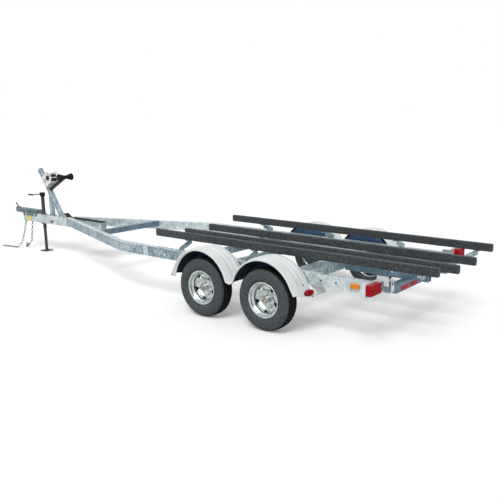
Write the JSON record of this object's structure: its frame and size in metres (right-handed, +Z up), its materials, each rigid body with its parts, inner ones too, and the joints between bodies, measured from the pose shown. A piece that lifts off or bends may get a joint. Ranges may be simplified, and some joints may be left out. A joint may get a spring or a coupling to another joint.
{
  "type": "boat trailer",
  "caption": "Galvanised bunk boat trailer with tandem axles, ribbed fenders, carpeted bunks, winch stand with bow stop, ball coupler and the tongue jack it parks on.",
  "frame": {"origin": "floor point under the middle of the trailer's box", "axes": "+X forward to the coupler, +Y to the trailer's left, +Z up"},
  "size_m": [8.366, 2.472, 1.3931],
  "materials": {
    "galvanised": "hot-dip galvanised",
    "fender_white": "pale satin",
    "carpet": "needle-punched carpet",
    "coupler_grey": "zinc plated",
    "zinc": "bright zinc",
    "strap": "wound webbing",
    "black_paint": "semi-gloss black",
    "black_rubber": "matt",
    "red_lens": "moulded lens",
    "amber_lens": "moulded lens",
    "yellow_plate": "blank plate",
    "chain_steel": "zinc plated",
    "tyre": "matt",
    "wheel_steel": "galvanised",
    "hub_steel": "zinc, brass-coloured cap"
  },
  "bodies": {
    "frame": {"rail_left": "galvanised", "rail_right": "galvanised", "tongue": "galvanised", "crossmember_front": "galvanised", "crossmember_middle": "galvanised", "crossmember_axle": "galvanised", "crossmember_rear": "galvanised", "axle_front": "galvanised", "axle_rear": "galvanised", "bunk_beams": "galvanised", "bunk_posts": "galvanised", "rear_braces": "galvanised", "fender_brackets": "galvanised", "winch_mast": "galvanised", "winch_strut": "galvanised", "jack_tube": "galvanised", "fender_left": "fender_white", "fender_right": "fender_white", "tail_brackets": "fender_white", "bunk_outer_left": "carpet", "bunk_inner_left": "carpet", "bunk_inner_right": "carpet", "bunk_outer_right": "carpet", "tongue_pad": "carpet", "coupler": "coupler_grey", "coupler_latch": "coupler_grey", "winch_frame": "zinc", "winch_crank": "zinc", "winch_drum": "strap", "jack_head": "black_paint", "bow_stop_arm": "black_paint", "bow_stop": "black_rubber", "tail_lights": "red_lens", "fender_markers": "red_lens", "amber_markers": "amber_lens", "tongue_plate": "yellow_plate", "safety_chains": "chain_steel"},
    "jack_leg": {"jack_leg": "galvanised"},
    "wheel_front_left": {"tyre_front_left": "tyre", "rim_front_left": "wheel_steel", "hub_front_left": "hub_steel"},
    "wheel_front_right": {"tyre_front_right": "tyre", "rim_front_right": "wheel_steel", "hub_front_right": "hub_steel"},
    "wheel_rear_left": {"tyre_rear_left": "tyre", "rim_rear_left": "wheel_steel", "hub_rear_left": "hub_steel"},
    "wheel_rear_right": {"tyre_rear_right": "tyre", "rim_rear_right": "wheel_steel", "hub_rear_right": "hub_steel"}
  },
  "joints": [
    {"name": "jack_slide", "type": "slide", "parent": "frame", "child": "jack_leg", "axis": [0, 0, 1], "range_m": [-0.05, 0.3]},
    {"name": "front_left_wheel_turn", "type": "hinge", "parent": "frame", "child": "wheel_front_left", "pos_m": [-1.56101, 1.12, 0.34], "axis": [0, 1, 0], "continuous": true},
    {"name": "front_right_wheel_turn", "type": "hinge", "parent": "frame", "child": "wheel_front_right", "pos_m": [-1.56101, -1.12, 0.34], "axis": [0, 1, 0], "continuous": true},
    {"name": "rear_left_wheel_turn", "type": "hinge", "parent": "frame", "child": "wheel_rear_left", "pos_m": [-2.44501, 1.12, 0.34], "axis": [0, 1, 0], "continuous": true},
    {"name": "rear_right_wheel_turn", "type": "hinge", "parent": "frame", "child": "wheel_rear_right", "pos_m": [-2.44501, -1.12, 0.34], "axis": [0, 1, 0], "continuous": true}
  ]
}
